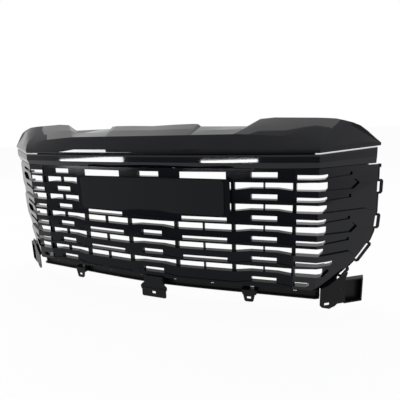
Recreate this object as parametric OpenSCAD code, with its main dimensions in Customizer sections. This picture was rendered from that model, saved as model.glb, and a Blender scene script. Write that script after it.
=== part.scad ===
// Front grille of a mid-size utility vehicle: a gloss moulding and header band over six wave bars,
// carried by vertical ribs, with swept-back side wings and a blank badge panel.
// The outlines are drawn in a mould frame: X across, Y into the vehicle, Z up, zero at the front
// face of the middle of the first air row's top edge. module placed() moves that to the upper bolts.

/* [Overall layout] */
// Distance from the middle to the vertical crease where each wing sweeps back
crease_x = 400; // [390:1:410]
// How far the tip of the upper moulding reaches past the crease
tip_past = 121.6; // [118:0.2:126]
// Sweep of the wings, in degrees
wing_angle = 34; // [30:1:38]
// Slope that the bow of the front face approaches at its ends
bow_slope = 0.093; // [0.06:0.001:0.12]
// Half-width of the rounded middle of the bow
bow_round = 100; // [60:5:160]
// How far the header band and moulding stand in front of the mesh at the crease
band_proud = 5.6; // [3:0.1:8]

/* [Wave mesh] */
// Height from one wave bar to the next
row_pitch = 50; // [46:0.5:56]
// Height of a bar between its bulges
bar_h = 32; // [30:0.5:34]
// How far a bulge rises over the rest of the bar
bulge_rise = 5; // [3:0.5:7]
// Height of the lower fin of a bar under its long slots
lower_fin_h = 4.5; // [4:0.5:6]
// Height of the long slots
slot_h = 11; // [8:0.5:11.5]
// How much higher the lower fin is inside a bulge
bulge_fin_rise = 6; // [4:0.5:7]
// How much higher the upper fin starts inside a bulge
bulge_slot_rise = 8; // [5:0.5:8]
// Depth of a bar, front to back
bar_depth = 16; // [14:0.5:20]
// Wall of the mouldings
wall = 3; // [2.5:0.1:3.5]
// How far the web between two slots is set back from the noses of the fins
web_recess = 2.5; // [2:0.5:6]
// Half-length of the flat top of a bulge
bulge_flat = 31; // [29:0.5:33]
// Length of the slope at each side of a bulge
bulge_ramp = 38; // [34:0.5:38]
// Half-length of the slot in a bulge
bulge_slot = 29.4; // [24:0.1:29.5]
// Length of the closed web between a long slot and the middle main rib
web_end = 10; // [8:0.5:14]
// Length of the closed web between the inner main rib and a long slot
web_start = 13; // [8:0.5:14]

/* [Ribs] */
// Distance from the middle to the innermost main rib
rib_inner_x = 66.7; // [62:0.1:72]
// Distance from the inner to the middle main rib
rib_dip_pitch = 144.4; // [140:0.1:148]
// Distance from the middle to the outer main rib
rib_bulge_pitch = 138.7; // [138:0.1:142]
// How far the outer bulge lies outside the middle between its two main ribs
bulge_shift = 3; // [0:0.5:4]
// Width of a main rib
main_rib_w = 8.4; // [7:0.1:11]
// Width of a thin rib
thin_rib_w = 3.2; // [2.5:0.1:4]
// Depth of the ribs, front to back
rib_depth = 10; // [8:0.5:12]
// Depth of bar left in front of a main rib
rib_setback = 6; // [4:0.5:11]
// Clearance between pieces that seat in each other
seat = 0.15; // [0.1:0.05:0.3]

/* [Upper moulding and header band] */
// Height of the lower lip of the moulding over the first air row
lip_z = 65; // [64:0.5:68]
// Height of the crease between the moulding's front and top faces
brow_z = 108; // [104:0.5:110]
// Depth of the moulding's top, from its front face to its rear edge
top_depth = 48; // [44:0.5:52]
// Height of the moulding's rear edge in the middle
rear_z = 130; // [128:0.5:134]
// Height by which the rear edge climbs outside the scallops
rear_climb = 11; // [8:0.5:12]
// Height of the rear edge over the floor of a scallop
scallop_z = 124.5; // [122:0.5:126]
// Rise of the seam from the crease to the tip
wing_rise = 9; // [6:0.5:10]
// Rise of the header band's lower edge from the crease to the tip
band_rise = 3.5; // [2:0.5:5]
// Seam between the moulding and the header band
seam = 3; // [2:0.5:4]
// Height of the lower edge of the header band
band_z = 32; // [32:0.5:34]
// Height of the header band's flat front face
band_face_h = 17; // [14:0.5:18]
// Depth of the header band
band_depth = 22; // [20:0.5:24]

/* [Badge] */
// Half-width of the badge panel
badge_half = 197; // [190:0.5:198]
// Height of the badge panel's top edge over the first air row's top
badge_top = 7.5; // [6:0.5:9]
// Height of the badge panel
badge_h = 84; // [82:0.5:85]
// Corner radius of the badge panel
badge_r = 9; // [6:0.5:12]
// Width of the bezel that shows round the panel
bezel_w = 13.5; // [12:0.5:14]
// Distance of the badge panel's face in front of the mesh
badge_proud = 6.5; // [6:0.5:8]
// Thickness of the badge panel and of its bezel
badge_t = 3.2; // [2.8:0.1:3.2]

/* [Wings] */
// Depth from the raised pads to the sunk face of a wing
pad_h = 6; // [4:0.5:7]
// Thickness of the wing's skin behind the sunk face
skin_t = 4; // [3:0.5:5]
// Depth of the blind grooves in the pads
groove_d = 5; // [3:0.5:5.5]
// Height of the lower fin of a wing under its slots
wing_slot_z = 7; // [6:0.5:8]
// Height of the slots in the wings
wing_slot_h = 10.5; // [8:0.5:11]
// How far the air rows and slots run past the crease
slot_past = 17; // [14:0.5:20]
// How far the blind grooves run past the crease
groove_past = 66.5; // [62:0.5:70]
// How far the arrow-shaped recesses run past the crease
arrow_past = 83; // [78:0.5:88]
// How far the raised pads run past the crease
pad_past = 113; // [108:0.5:114]
// How far the frame's outer edge runs past the crease
edge_past = 126; // [124:0.5:130]
// Depth of the fins in the wings, front to back
wing_fin_d = 20; // [18:0.5:22]
// Inset of the wing panel from the edge of its frame
panel_inset = 4; // [3:0.5:5]
// Width of the frame behind the wing's edge
frame_w = 22; // [18:0.5:26]

/* [Lower rail and brackets] */
// Distance of the rail's web behind the front of the mesh
rail_setback = 20; // [16:0.5:22]
// Height of the lower rail
rail_h = 28; // [26:0.5:30]
// Distance from one rail hole to the next
rail_hole_pitch = 101; // [98:0.5:102]
// Width of the holes in the rail
rail_hole_w = 9; // [7:0.5:11]
// Distance from the middle to the inner tabs
tab_x = 248.5; // [242:0.5:252]
// Length that the inner tabs hang below the rail's shelf
tab_drop = 30; // [26:0.5:32]
// Width of the rectangular holes in the tabs
tab_hole_w = 10; // [8:0.5:11]
// Height of the rectangular holes in the tabs
tab_hole_h = 6.5; // [5:0.5:7]
// Length of the middle bracket below the last bar
bracket_drop = 59; // [56:0.5:62]
// Half-width of the middle bracket's neck
bracket_neck = 27; // [24:0.5:29]
// Half-width of the middle bracket's foot
bracket_foot = 35; // [32:0.5:37]
// Diameter of the round hole in each corner bracket
corner_hole_d = 7; // [6:0.5:8]
// Length of the round hole in each corner bracket, collar included
corner_hole_len = 8; // [6:0.5:10]
// Depth of the box of each corner bracket
corner_box_d = 17; // [14:0.5:19]

/* [Upper carrier and fasteners] */
// Distance from one upper bolt hole to the next
bolt_pitch = 220; // [210:1:224]
// Diameter of the upper bolt holes
bolt_hole_d = 9; // [8:0.5:10]
// Distance of the bolt line behind the front of the mesh
bolt_setback = 62; // [58:0.5:64]
// Height of the bolt flange's top face over the first air row
bolt_z = 99; // [97:0.5:100]
// Length of the flange from the carrier's web to its rear edge
flange_len = 52; // [48:0.5:56]
// Distance of the carrier's web behind the front of the mesh
carrier_setback = 24; // [23:0.5:26]
// Shank diameter of the assembly screws
screw_d = 4.2; // [3.5:0.1:5]
// Head diameter of the assembly screws
screw_head_d = 9; // [8:0.5:10]

/* [Hidden] */

gloss_black = [0.07, 0.07, 0.08];
satin_black = [0.12, 0.12, 0.13];
badge_black = [0.16, 0.17, 0.18];
zinc_grey = [0.55, 0.56, 0.58];

bar_count = 6;
tip_x = crease_x + tip_past;
rib_x = [rib_inner_x, rib_inner_x + rib_dip_pitch, rib_inner_x + rib_dip_pitch + rib_bulge_pitch];
thin_x = [(rib_x[0] + rib_x[1]) / 2, (rib_x[1] + rib_x[2]) / 2 + bulge_shift];
mesh_x = rib_x[2];
mesh_bottom = -bar_count * row_pitch + row_pitch;
slot_top = lower_fin_h + slot_h;
wing_slot_top = wing_slot_z + wing_slot_h;
band_top = lip_z - seam;
bezel_half = badge_half + bezel_w;

badge_bottom = badge_top - badge_h;
badge_cut = badge_bottom - 2;
wing_slope = tan(wing_angle);
crease_y = bow(crease_x);
screw_hole_d = screw_d + 4 * seat;
band_radius = crease_x * crease_x / (2 * (crease_y - band_proud));
cut = 1;
carrier_half = badge_half + cut;
far = 400;

// Depth of the front face of the mesh at a place across the grille, wings included
function bow(x) = bow_slope * (sqrt(x * x + bow_round * bow_round) - bow_round);
function front(x) = abs(x) <= crease_x ? bow(x) : crease_y + (abs(x) - crease_x) * wing_slope;
// Depth of the front of the header band and moulding, an arc as far as the crease
function band_front(x) = abs(x) <= crease_x ? x * x / (2 * band_radius)
    : crease_y - band_proud + (abs(x) - crease_x) * wing_slope;
// 1 in a bulge of the wave bars, 0 between the bulges, and a slope from one to the other
function bump(x, middle) = min(1, (bulge_flat + bulge_ramp - abs(x - middle)) / bulge_ramp);
function wave(x) = max(0, bump(abs(x), 0), bump(abs(x), thin_x[1]));
// Height of the lower edge of a bar
function bar_z(k) = -(k - 1) * row_pitch;
function wing_share(x) = max(0, (abs(x) - crease_x) / (tip_x - crease_x));

// Places across the grille, dense enough for the bow, with the creases among them
function breaks(x0, x1) = concat([x0], [for (x = [-crease_x, crease_x]) if (x > x0 && x < x1) x], [x1]);
function stations(x0, x1) = let (b = breaks(x0, x1)) concat([x0], [for (i = [1:len(b) - 1])
    let (n = abs(b[i - 1] + b[i]) < 2 * crease_x ? ceil((b[i] - b[i - 1]) / 30) : 1)
    for (j = [1:n]) b[i - 1] + (b[i] - b[i - 1]) * j / n]);
function wave_knots() = [for (s = [-1, 1], x = s < 0
    ? [mesh_x, thin_x[1] + bulge_flat, thin_x[1] - bulge_flat, thin_x[1] - bulge_flat - bulge_ramp,
        bulge_flat + bulge_ramp, bulge_flat]
    : [bulge_flat, bulge_flat + bulge_ramp, thin_x[1] - bulge_flat - bulge_ramp,
        thin_x[1] - bulge_flat, thin_x[1] + bulge_flat, mesh_x]) s * x];
function knots_between(x0, x1) = concat([x0], [for (x = wave_knots()) if (x > x0 && x < x1) x], [x1]);
function wave_edge(x0, x1, z, rise) = [for (x = knots_between(x0, x1)) [x, z + rise * wave(x)]];
function reversed(list) = [for (i = [len(list) - 1:-1:0]) list[i]];

module placed() { translate([0, -bolt_setback, -bolt_z]) children(); }
module mirrored(side) { if (side < 0) mirror([1, 0, 0]) children(); else children(); }
// A front view, extruded through the whole depth of the part
module through() { translate([0, far, 0]) rotate([90, 0, 0]) linear_extrude(2 * far) children(); }
// A wall that follows the front face, from one depth behind it to another
module curtain(x0, x1, d0, d1, z0, z1) {
    xs = stations(x0, x1);
    translate([0, 0, z0]) linear_extrude(z1 - z0)
        polygon(concat([for (x = xs) [x, front(x) + d0]], [for (x = reversed(xs)) [x, front(x) + d1]]));
}
// A curtain with the outline of a front view
module sheet(x0, x1, d0, d1, z0, z1) {
    intersection() {
        curtain(x0, x1, d0, d1, z0, z1);
        through() children();
    }
}
module skin_of(rings) {
    n = len(rings[0]);
    last = len(rings) - 1;
    points = [for (ring = rings, p = ring) p];
    sides = [for (i = [0:last - 1], j = [0:n - 1], half = [0:1])
        let (a = i * n + j, b = i * n + (j + 1) % n, c = a + n, d = b + n) half == 0 ? [a, b, d] : [a, d, c]];
    polyhedron(points, concat([[for (j = [n - 1:-1:0]) j]], sides, [[for (j = [0:n - 1]) last * n + j]]));
}

/* ---- Wave bars ---- */
module band_between(x0, x1, z_low, rise_low, z_high, rise_high) {
    polygon(concat(wave_edge(x0, x1, z_low, rise_low), reversed(wave_edge(x0, x1, z_high, rise_high))));
}
module box2(x0, x1, z0, z1) { translate([x0, z0]) square([x1 - x0, z1 - z0]); }

function long_slot(s) = s > 0 ? [rib_x[0] + main_rib_w / 2 + web_start, rib_x[1] - main_rib_w / 2 - web_end]
    : [-rib_x[1] + main_rib_w / 2 + web_end, -rib_x[0] - main_rib_w / 2 - web_start];
// The slots of the first bar all reach the same height, under the header band
function slots_high(k) = k == 1 ? slot_top + bulge_slot_rise : slot_top;
function slots_rise(k) = k == 1 ? 0 : bulge_slot_rise;
module long_slots(k) {
    for (s = [-1, 1]) box2(long_slot(s)[0], long_slot(s)[1], bar_z(k) + lower_fin_h, bar_z(k) + slots_high(k));
}
module bulge_slots(k, xs) {
    for (x = xs) box2(x - bulge_slot, x + bulge_slot, bar_z(k) + lower_fin_h + bulge_fin_rise,
        bar_z(k) + slots_high(k) + slots_rise(k));
}
// The bottom bar has no long openings, and the one under the badge none in the middle
module open_slots(k) {
    if (k < bar_count) long_slots(k);
    bulge_slots(k, k == 3 ? [-thin_x[1], thin_x[1]] : [-thin_x[1], 0, thin_x[1]]);
}
module blind_slots(k) {
    if (k == bar_count) long_slots(k);
    if (k == 3) bulge_slots(k, [0]);
}
// The webs that close a bar between two slots, seen from the front
module between_fins(k, x0, x1) {
    band_between(x0, x1, bar_z(k) + lower_fin_h, bulge_fin_rise, bar_z(k) + slots_high(k), slots_rise(k));
}
module webs(k) {
    ends = [[bulge_slot, long_slot(1)[0]], [long_slot(1)[1], thin_x[1] - bulge_slot],
        [thin_x[1] + bulge_slot, mesh_x + cut]];
    for (e = ends) {
        between_fins(k, e[0], e[1]);
        between_fins(k, -e[1], -e[0]);
    }
}
// Hollows behind the webs, from the side wall of one bulge slot to that of the next
module pockets(k) {
    ends = [[bulge_slot + wall, thin_x[1] - bulge_slot - wall], [thin_x[1] + bulge_slot + wall, mesh_x + cut]];
    for (e = ends) {
        between_fins(k, e[0], e[1]);
        between_fins(k, -e[1], -e[0]);
    }
}
// Channel that hollows the upper fin from behind
module fin_core(x0, x1, z, low, high, rise) {
    band_between(x0, x1, z + low + wall, bulge_slot_rise, z + high - wall, rise);
}
module rib_notches(depth_cut) {
    for (s = [-1, 1], x = rib_x)
        curtain(s * x - main_rib_w / 2 - seat, s * x + main_rib_w / 2 + seat, rib_setback, depth_cut,
            mesh_bottom - row_pitch, band_top);
}
module bar_body(k, x0, x1, top, rise) {
    z = bar_z(k);
    difference() {
        sheet(x0, x1, 0, bar_depth, z, z + bar_h + bulge_rise)
            band_between(x0, x1, z, 0, z + top, rise);
        through() open_slots(k);
        sheet(x0 - cut, x1 + cut, -cut, web_recess, z, z + bar_h + bulge_rise) {
            webs(k);
            blind_slots(k);
        }
        sheet(x0 - cut, x1 + cut, web_recess + wall, bar_depth + cut, z, z + bar_h + bulge_rise) pockets(k);
        if (top - slots_high(k) > 3 * wall) sheet(x0 + wall, x1 - wall, wall, bar_depth + cut, z, z + bar_h + bulge_rise)
            fin_core(x0 + wall, x1 - wall, z, slot_top, top, rise);
        rib_notches(bar_depth + cut);
    }
}
module wave_bar(k) {
    color(gloss_black) placed() {
        if (k == 1) bar_body(k, -mesh_x, mesh_x, band_z - seat, 0);
        else if (k == 3) {
            // The badge carrier takes the place of the upper fin in the middle
            difference() {
                bar_body(k, -mesh_x, mesh_x, bar_h, bulge_rise);
                through() band_between(-carrier_half - seat, carrier_half + seat, badge_cut - seat,
                    bulge_rise, bar_z(3) + bar_h + cut, bulge_rise);
            }
        }
        else bar_body(k, -mesh_x, mesh_x, bar_h, bulge_rise);
    }
}
module wave_bar_2(side) {
    color(gloss_black) placed() mirrored(side)
        bar_body(2, carrier_half + seat, mesh_x, bar_h, bulge_rise);
}

/* ---- Ribs ---- */
// A rib that stands clear of the badge carrier reaches the header band, and one behind it stops below
function rib_clears_badge(i) = rib_x[i] - main_rib_w / 2 > carrier_half + seat;
module main_rib(side, i) {
    top = rib_clears_badge(i) ? band_z - seat : badge_cut - seat;
    color(satin_black) placed() mirrored(side)
        curtain(rib_x[i] - main_rib_w / 2, rib_x[i] + main_rib_w / 2, rib_setback + seat,
            rib_setback + rib_depth, mesh_bottom, top);
}
// Short struts between the bars, which leave the slots open
module thin_rib(side, i) {
    first = i == 0 ? 3 : 1;
    color(satin_black) placed() mirrored(side) for (k = [first:bar_count - 1])
        curtain(thin_x[i] - thin_rib_w / 2, thin_x[i] + thin_rib_w / 2, wall, bar_depth - wall,
            bar_z(k + 1) + bar_h + bulge_rise * wave(thin_x[i]), bar_z(k));
}

/* ---- Wings ---- */
function under_band(x) = band_z - seat + band_rise * wing_share(x);
// Outer edge of the wing's frame, from the header band down and round to the lower rail.
// Each pair is a distance inwards from the outermost edge and a share of the mesh's height.
function edge_path() = concat([[crease_x + edge_past - 2, band_z - seat]],
    [for (p = [[1, 0.04], [0, 0.31], [4, 0.5], [11, 0.58], [31, 0.7], [44, 0.77], [63, 0.85], [82, 0.912],
        [98, 0.96], [117, 0.99]]) [crease_x + edge_past - p[0], p[1] * mesh_bottom]],
    [[crease_x - 8, mesh_bottom]]);
// A path moved inwards by a distance, each point square to its neighbours
function inset_path(path, d) = [for (i = [0:len(path) - 1])
    let (a = path[max(0, i - 1)], b = path[min(len(path) - 1, i + 1)], t = (b - a) / norm(b - a))
    [path[i][0] + d * t[1], i == 0 ? path[i][1] : path[i][1] - d * t[0]]];
module panel_outline() {
    polygon(concat([[mesh_x, under_band(mesh_x)], [crease_x, under_band(crease_x)]],
        inset_path(edge_path(), panel_inset), [[mesh_x, mesh_bottom]]));
}
module pads() {
    upper = bar_z(2);
    middle = bar_z(3) + bar_h;
    lower = bar_z(5) + bar_h;
    polygon([[mesh_x, under_band(mesh_x)], [crease_x, under_band(crease_x)],
        [crease_x + pad_past - 15, under_band(crease_x + pad_past - 15)],
        [crease_x + pad_past - 2, under_band(crease_x) - 8], [crease_x + pad_past, upper + 17.5],
        [crease_x + pad_past - 11, upper + 4.5], [crease_x + slot_past, upper], [mesh_x, upper]]);
    polygon([[mesh_x, middle], [crease_x + slot_past, middle], [crease_x + pad_past - 14, middle + 2],
        [crease_x + pad_past, middle - 5], [crease_x + pad_past, bar_z(3)],
        [crease_x + pad_past - 6.5, bar_z(4) + 17], [crease_x + pad_past - 26.5, bar_z(4) + 2],
        [crease_x + slot_past, bar_z(4)], [mesh_x, bar_z(4)]]);
    polygon([[mesh_x, lower], [crease_x + slot_past - 4, lower], [crease_x + 69, lower + 4],
        [crease_x + 80, lower - 9], [crease_x + 68, bar_z(6) + 58], [crease_x + 50, bar_z(6) + 43],
        [crease_x + 30, bar_z(6) + 25], [crease_x + 12, bar_z(6) + 12], [crease_x - 8, mesh_bottom],
        [mesh_x, mesh_bottom]]);
}
// Sunk ends of the odd air rows, each with an arrow-shaped tip
module arrows() {
    for (row = [1, 3, 5]) {
        z = bar_z(row);
        reach = row == 5 ? arrow_past - 55 : arrow_past;
        drop = row_pitch - bar_h;
        polygon([[mesh_x + main_rib_w, z], [crease_x + reach - 9, z + 4], [crease_x + reach, z - 5],
            [crease_x + reach - 12, z - drop], [mesh_x + main_rib_w, z - drop]]);
    }
}
module air_rows() {
    for (row = [1:bar_count - 1]) {
        z = bar_z(row);
        drop = row_pitch - bar_h;
        end = crease_x + slot_past - (row > 3 ? 4 : 0);
        corner = row % 2 == 0 ? 9 : 4;
        polygon([[mesh_x + main_rib_w / 2 + seat, z], [end, z], [end, z - drop + corner],
            [end - corner, z - drop], [mesh_x + main_rib_w / 2 + seat, z - drop]]);
    }
}
module wing_slots() {
    for (k = [1:bar_count]) {
        z = bar_z(k);
        end = crease_x + (k == 5 ? slot_past + 16 : k == 6 ? slot_past - 31 : slot_past);
        polygon([[mesh_x + main_rib_w / 2 - 3, z + wing_slot_z], [crease_x - 15, z + wing_slot_z],
            [end - 6, z + wing_slot_z + 1], [end, z + wing_slot_z + 5], [end, z + wing_slot_top + 1],
            [end - 8, z + wing_slot_top], [mesh_x + main_rib_w / 2 - 3, z + wing_slot_top]]);
    }
}
module grooves() {
    for (k = [1:4]) {
        z = bar_z(k);
        polygon([[crease_x + slot_past - 3, z + wing_slot_z + 2],
            [crease_x + groove_past, z + wing_slot_z + 6.5], [crease_x + groove_past, z + wing_slot_top + 3.5],
            [crease_x + slot_past - 3, z + wing_slot_top]]);
    }
}
// Ribs behind the skin of a wing, and the channels that hollow its fins from behind
module wing_stiffeners() {
    for (k = [2:bar_count - 1]) box2(crease_x + slot_past, crease_x + pad_past - 18 * (k > 3 ? k - 2 : 1),
        bar_z(k) + wing_slot_z, bar_z(k) + wing_slot_z + wall);
}
module wing_cores() {
    for (k = [1:bar_count]) box2(mesh_x + wall, crease_x + slot_past - wall, bar_z(k) + wing_slot_top + wall,
        (k == 1 ? band_z : bar_z(k) + bar_h) - wall);
}
module wing_panel(side) {
    depth = pad_h + skin_t;
    x_end = crease_x + edge_past;
    z_end = under_band(tip_x) + wall;
    color(gloss_black) placed() mirrored(side) difference() {
        union() {
            sheet(mesh_x, x_end, pad_h, depth, mesh_bottom, z_end) panel_outline();
            sheet(mesh_x, x_end, 0, depth, mesh_bottom, z_end) pads();
            sheet(mesh_x, x_end, depth - cut, wing_fin_d, mesh_bottom, z_end)
                box2(mesh_x, crease_x + slot_past, mesh_bottom, under_band(mesh_x));
            sheet(mesh_x, x_end, depth - cut, bar_depth, mesh_bottom, z_end) intersection() {
                wing_stiffeners();
                polygon(concat([[mesh_x, band_z]], inset_path(edge_path(), frame_w + 2), [[mesh_x, mesh_bottom]]));
            }
        }
        sheet(mesh_x - cut, x_end, -cut, pad_h, mesh_bottom, z_end) arrows();
        sheet(mesh_x - cut, x_end, -cut, groove_d, mesh_bottom, z_end) grooves();
        sheet(mesh_x - cut, x_end, depth, wing_fin_d + cut, mesh_bottom, z_end) wing_cores();
        through() {
            air_rows();
            wing_slots();
        }
        curtain(mesh_x - cut, mesh_x + main_rib_w / 2 + seat, rib_setback, wing_fin_d + cut,
            mesh_bottom - cut, z_end);
        for (p = wing_screw_places()) along_wing(p) translate([0, 0, wing_screw_tip - seat])
            cylinder(h = skin_t, d = screw_hole_d, $fn = 32);
    }
}

// The clips along a wing's edge: step of the path and share of it, lean, half the length
wing_clips = [[1, 0.15, 0, 17], [2, 0.5, 3, 18], [4, 0.9, 35, 26], [7, 0.25, 39, 14]];
module at_clips() {
    path = edge_path();
    for (c = wing_clips) let ($half = c[3])
        translate(path[c[0]] + (path[c[0] + 1] - path[c[0]]) * c[1]) rotate(-c[2]) children();
}
// Outline of the frame: a strip along the wing's edge, with a slotted strap at each clip
module frame_outline() {
    path = edge_path();
    difference() {
        union() {
            polygon(concat(path, reversed(inset_path(path, frame_w))));
            box2(path[0][0] - wall, path[0][0] + wall, path[0][1] - 8, path[0][1]);
            at_clips() polygon([[-6, $half], [5, $half], [8.5, $half - 4], [8.5, 4 - $half], [5, -$half],
                [-6, -$half]]);
        }
        at_clips() box2(-5, 1, 5 - $half, $half - 5);
    }
}
function wing_screw_places() = let (p = inset_path(edge_path(), frame_w / 2 + 4)) [p[1], p[3], p[5], p[8]];
// Stands a child on the wing's plane, with its Z axis pointing to the rear
module along_wing(p) { translate([p[0], front(p[0]), p[1]]) rotate([-90, 0, wing_angle]) children(); }
frame_d = pad_h + skin_t + seat;
wing_screw_seat = (frame_d + wall) * cos(wing_angle);
wing_screw_tip = (pad_h + skin_t / 3) * cos(wing_angle);
module side_frame(side) {
    path = edge_path();
    x0 = crease_x + slot_past + seat;
    x1 = crease_x + edge_past + 10;
    color(satin_black) placed() mirrored(side) difference() {
        union() {
            sheet(x0, x1, frame_d, frame_d + wall, mesh_bottom, band_z) frame_outline();
            sheet(x0, x1, frame_d, frame_d + 3 * wall, mesh_bottom, band_z) difference() {
                polygon(concat(path, reversed(inset_path(path, wall))));
                at_clips() box2(-9, 9, 2 - $half, $half - 2);
            }
        }
        for (p = wing_screw_places()) along_wing(p) cylinder(h = frame_d + wall, d = screw_hole_d, $fn = 32);
    }
}
module wing_screws() {
    color(zinc_grey) placed() for (side = [-1, 1]) mirrored(side) for (p = wing_screw_places())
        along_wing(p) translate([0, 0, wing_screw_seat]) screw(wing_screw_seat - wing_screw_tip);
}
// An assembly screw along Z, with its head above the origin
module screw(grip) {
    cylinder(h = 0.7 * screw_d, d = screw_head_d, $fn = 32);
    translate([0, 0, -grip]) cylinder(h = grip + cut, d = screw_d, $fn = 32);
}

/* ---- Upper moulding, header band and carrier ---- */
function to_band(x, off, z) = [x, band_front(x) + off, z];
function brow_height(x) = brow_z - (x <= crease_x ? lookup(x, [[224, 0], [306, 5], [356, 9.6],
    [390, 14.3], [crease_x, 19]]) : lookup(x, [[crease_x, 19], [crease_x + 55, -14], [tip_x, 29.4]]));
function brow_setback(x) = lookup(x, [[390, 10], [crease_x + 5, 5], [crease_x + 55, 25], [tip_x, 0.6]]);
function rear_y(x) = x <= crease_x ? band_front(x) + top_depth
    : band_front(tip_x) + 1 + (band_front(crease_x) + top_depth - band_front(tip_x) - 1) * (1 - wing_share(x));
// Height of the rear edge: the middle, the scallop, the shoulder and the fall to the tip
function rear_height(x) = lookup(x, [[0, rear_z], [60, rear_z + 2], [108, rear_z + 2.5],
    [120, rear_z + 1.5], [127, scallop_z + 1.5], [186, scallop_z], [242, scallop_z - 1],
    [268, rear_z + rear_climb - 2], [300, rear_z + rear_climb], [402, rear_z + rear_climb - 4],
    [crease_x + 28, rear_z + 4.5], [crease_x + 46, rear_z], [crease_x + 66, rear_z - 6],
    [crease_x + 78, rear_z - 12], [crease_x + 92, rear_z - 23], [crease_x + 108, rear_z - 38], [tip_x, rear_z - 50]]);
function lip_height(x) = lip_z + wing_rise * wing_share(x);
// The same station at the front and at the rear, skewed at the ends of a scallop
function moulding_stations() = [[0, 0], [60, 60], [100, 108], [114, 120], [118, 127], [170, 186],
    [214, 242], [226, 268], [262, 300], [320, 350], [372, 390], [crease_x, crease_x + 12],
    [crease_x + 22, crease_x + 28], [crease_x + 42, crease_x + 46], [crease_x + 60, crease_x + 62],
    [crease_x + 78, crease_x + 78], [crease_x + 93, crease_x + 93], [crease_x + 108, crease_x + 108], [tip_x, tip_x]];
function moulding_line(s) =
    let (lip = lip_height(s[0]), rise = brow_height(s[0]) - lip,
        brow = to_band(s[0], brow_setback(s[0]), brow_height(s[0])),
        rear = [s[1], rear_y(s[1]), rear_height(s[1])])
    [to_band(s[0], 2 * wall, lip), to_band(s[0], 1.2, lip), to_band(s[0], 0, lip + min(4, 0.3 * rise)),
        to_band(s[0], 0.6, lip + min(11, 0.6 * rise)), brow, (brow + rear) / 2 + [0, 0, 1.5 * (1 - wing_share(s[0]))],
        rear];
// Closes an open line in the Y and Z of each station into a wall of even thickness
function wall_ring(line, t) = concat(line, [for (i = [len(line) - 1:-1:0])
    let (a = line[max(0, i - 1)], b = line[min(len(line) - 1, i + 1)],
        d = [b[1] - a[1], b[2] - a[2]], n = d / norm(d))
    line[i] + [0, t * n[1], -t * n[0]]]);
function mirror_ring(ring) = [for (p = ring) [-p[0], p[1], p[2]]];
function both_sides(rings) = concat([for (i = [len(rings) - 1:-1:1]) mirror_ring(rings[i])], rings);

boss_share = 0.8;
function boss_xs() = [-310, -60, 60, 310];
function boss_y(x) = band_front(x) + brow_setback(abs(x)) + boss_share * (top_depth - brow_setback(abs(x)));
// The boss ends inside the sloping skin, so it is lower by its radius times the slope
function boss_slope(x) = (rear_height(abs(x)) - brow_height(abs(x))) / (top_depth - brow_setback(abs(x)));
function boss_top(x) = brow_height(abs(x)) + boss_share * (rear_height(abs(x)) - brow_height(abs(x)))
    - screw_d * boss_slope(x) - 0.5;
module upper_moulding() {
    color(gloss_black) placed() difference() {
        union() {
            skin_of(both_sides([for (s = moulding_stations()) wall_ring(moulding_line(s), wall)]));
            for (x = boss_xs()) translate([x, boss_y(x), bolt_z + seat])
                cylinder(h = boss_top(x) - bolt_z - seat, d = 2 * screw_d, $fn = 32);
        }
        for (x = boss_xs()) translate([x, boss_y(x), bolt_z - cut])
            cylinder(h = boss_top(x) - bolt_z - wall, d = screw_hole_d, $fn = 32);
    }
}
module moulding_screws() {
    color(zinc_grey) placed() for (x = boss_xs()) translate([x, boss_y(x), bolt_z - wall])
        mirror([0, 0, 1]) screw(wall + 12);
}

band_end = crease_x + pad_past + 2;
function band_stations() = [0, 60, 120, 180, 240, 300, 350, crease_x, crease_x + 40, crease_x + 80, band_end];
function band_line(x) = let (low = band_z + band_rise * wing_share(x), high = lip_height(x) - seam)
    [to_band(x, band_depth, low), to_band(x, 7, low), to_band(x, 0, high - band_face_h - wing_rise * wing_share(x) / 3),
        to_band(x, 0, high - 4), to_band(x, 2.5, high), to_band(x, band_depth, high)];
function band_boss_xs() = [-330, -180, -45, 45, 180, 330];
band_boss_z = (band_z + lip_z - seam) / 2 + 3;
module header_band() {
    color(gloss_black) placed() difference() {
        union() {
            skin_of(both_sides([for (x = band_stations()) wall_ring(band_line(x), wall)]));
            for (x = band_boss_xs()) translate([x, band_front(x) + wall / 2, band_boss_z]) rotate([-90, 0, 0])
                cylinder(h = front(x) + carrier_setback - seat - band_front(x) - wall / 2, d = 2 * screw_d, $fn = 32);
        }
        for (x = band_boss_xs()) translate([x, front(x) + carrier_setback, band_boss_z]) rotate([90, 0, 0])
            cylinder(h = 14, d = screw_hole_d, $fn = 32);
    }
}
module band_screws() {
    color(zinc_grey) placed() for (x = band_boss_xs())
        translate([x, front(x) + carrier_setback + wall, band_boss_z]) rotate([-90, 0, 0]) screw(wall + 10);
}
carrier_x = crease_x - 12;
module upper_carrier() {
    color(satin_black) placed() difference() {
        union() {
            curtain(-carrier_x, carrier_x, carrier_setback, carrier_setback + wall, band_z, bolt_z);
            curtain(-carrier_x, carrier_x, carrier_setback, carrier_setback + flange_len, bolt_z - wall, bolt_z);
            for (x = [-carrier_x, -bolt_pitch, 0, bolt_pitch, carrier_x - wall])
                translate([x, 0, 0]) gusset(x);
        }
        for (i = [-1.5:1.5]) translate([i * bolt_pitch, bolt_setback, bolt_z - wall - cut])
            cylinder(h = wall + 2 * cut, d = bolt_hole_d, $fn = 48);
        for (x = boss_xs()) translate([x, boss_y(x), bolt_z - wall - cut])
            cylinder(h = wall + 2 * cut, d = screw_hole_d, $fn = 32);
        for (x = band_boss_xs()) translate([x, front(x) + carrier_setback - cut, band_boss_z])
            rotate([-90, 0, 0]) cylinder(h = wall + 4 * cut, d = screw_hole_d, $fn = 32);
    }
}
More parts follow.
